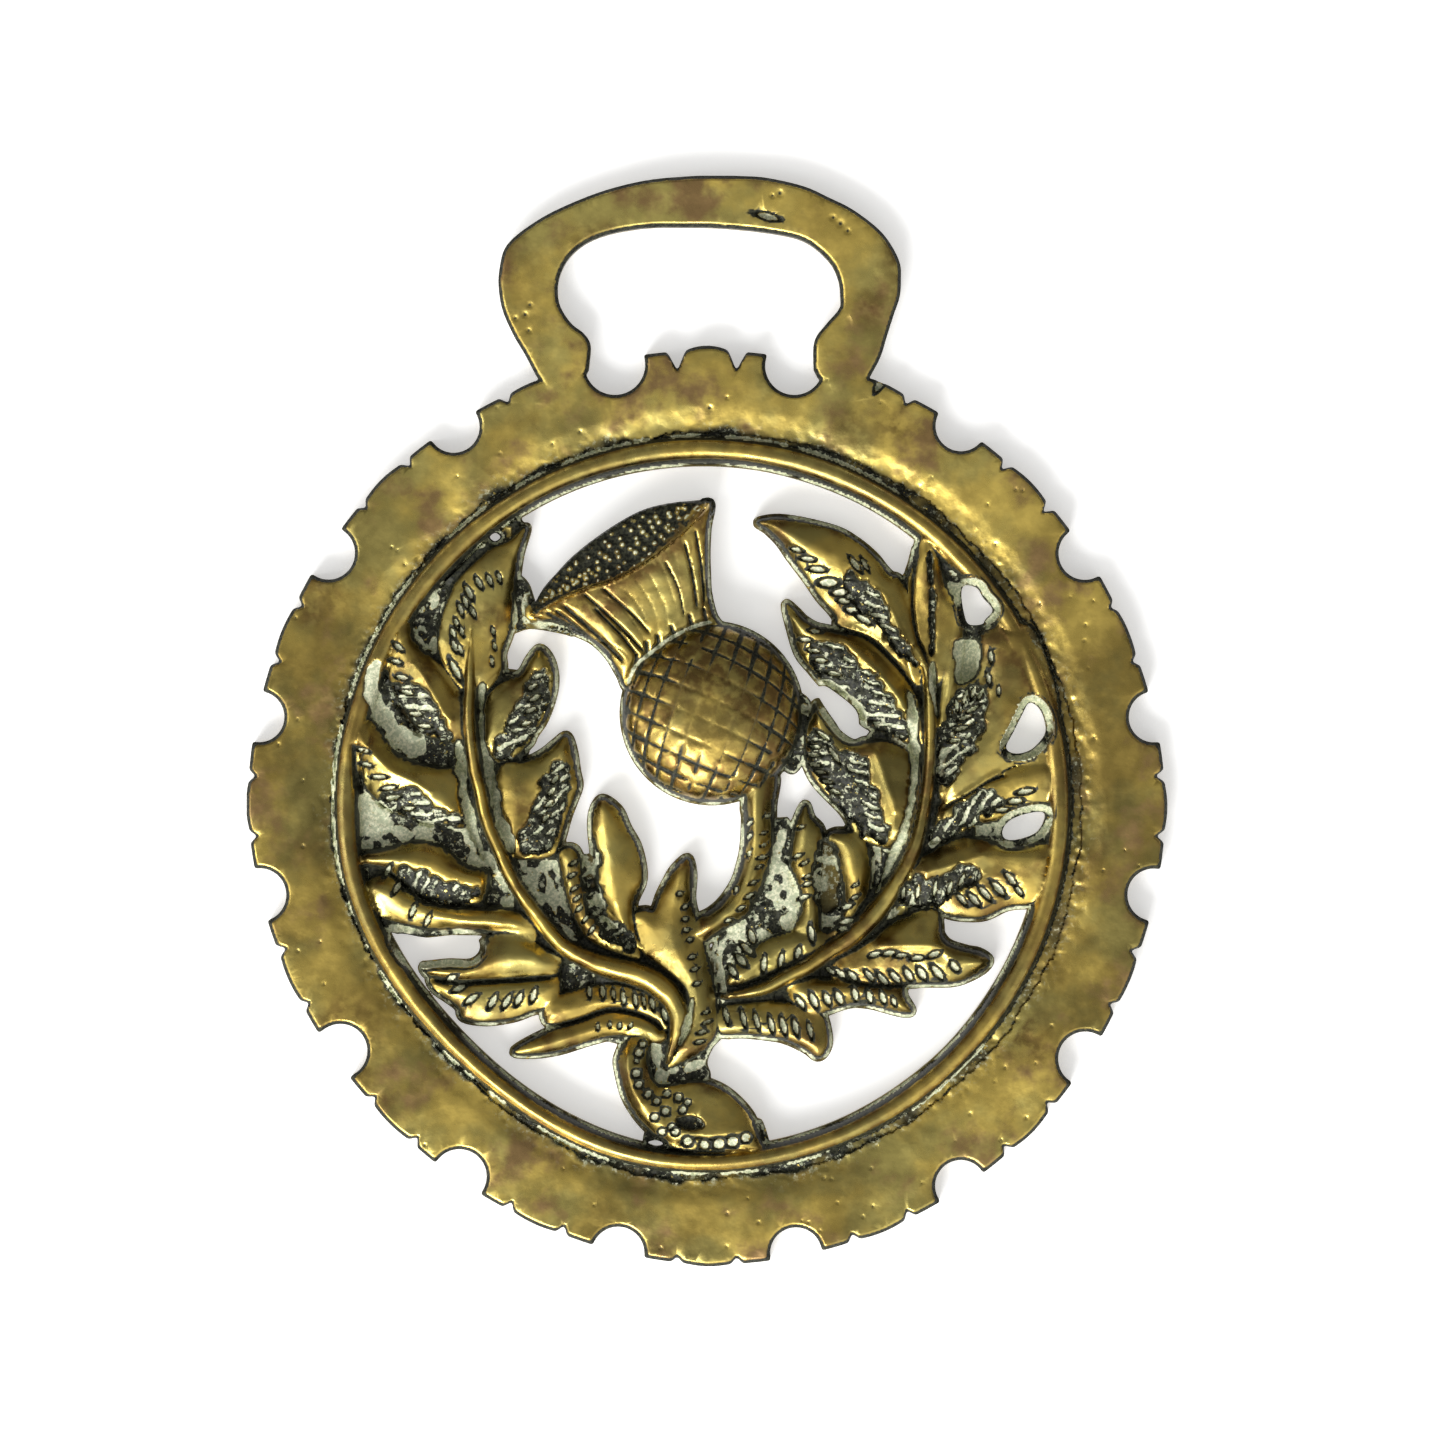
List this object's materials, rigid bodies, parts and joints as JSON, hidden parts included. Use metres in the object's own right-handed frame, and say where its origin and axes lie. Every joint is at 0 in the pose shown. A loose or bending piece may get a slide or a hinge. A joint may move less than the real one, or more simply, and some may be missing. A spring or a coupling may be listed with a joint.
{
  "type": "horse brass",
  "caption": "Flat openwork brass harness ornament: scalloped ring with a strap loop on top, framing a thistle between leaf sprays; hangs on a leather strap.",
  "frame": {"origin": "under the centre of the bounding box, on the flat back", "axes": "+Z out of the relief's face, +Y towards the strap loop, +X to the right as seen from the face"},
  "size_m": [0.076, 0.09, 0.0065],
  "materials": {
    "brass": "worn, polished on the high spots, dark and pale residue in the recesses"
  },
  "bodies": {
    "root": {"horse_brass": "brass"}
  },
  "joints": []
}
